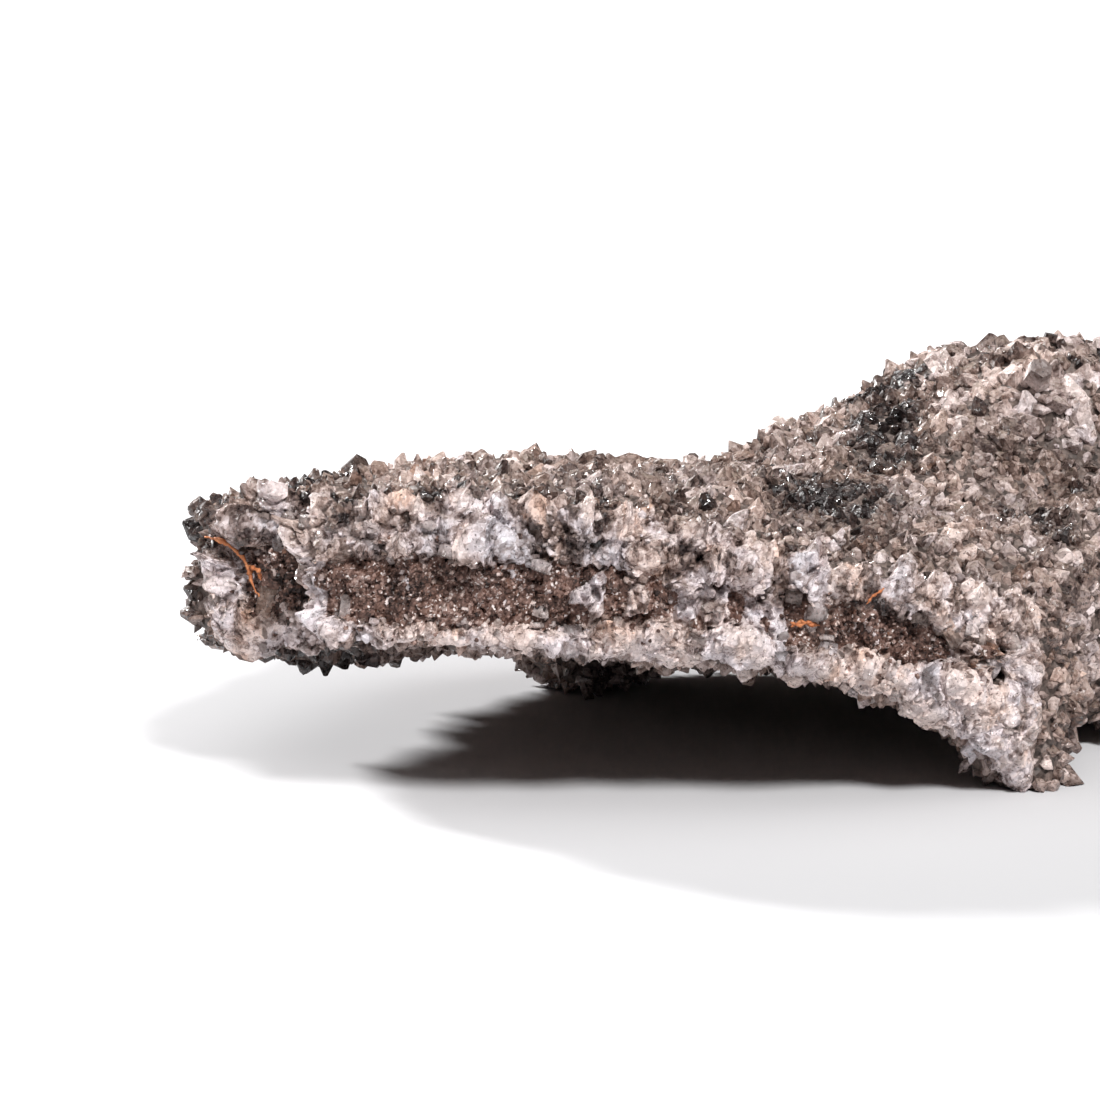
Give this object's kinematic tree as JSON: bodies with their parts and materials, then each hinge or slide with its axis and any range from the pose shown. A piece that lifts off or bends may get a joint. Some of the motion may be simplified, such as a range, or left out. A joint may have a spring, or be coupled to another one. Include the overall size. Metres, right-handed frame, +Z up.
{
  "type": "mineral specimen",
  "caption": "Arched hand-sized plate of petrified wood overgrown by smoky quartz crystals, with a dark wood band showing on its broken faces.",
  "frame": {"origin": "on the surface the specimen rests on, under the middle of its box", "axes": "+X along the length, from the thin free lobes to the thick mound; +Y from the broken front face to the back; +Z up"},
  "size_m": [0.1164, 0.0798, 0.0353],
  "materials": {
    "smoky_quartz": "milky to smoky quartz crystals, glassy faces with dusty tips",
    "petrified_wood": "dark sugary grains, matte with small glints",
    "rootlet": "dry plant fibre, matte"
  },
  "bodies": {
    "root": {"smoky_quartz": "smoky_quartz", "petrified_wood": "petrified_wood", "rootlet_left_lobe": "rootlet", "rootlet_wood_bundle": "rootlet", "rootlet_upper_crust": "rootlet"}
  },
  "joints": []
}
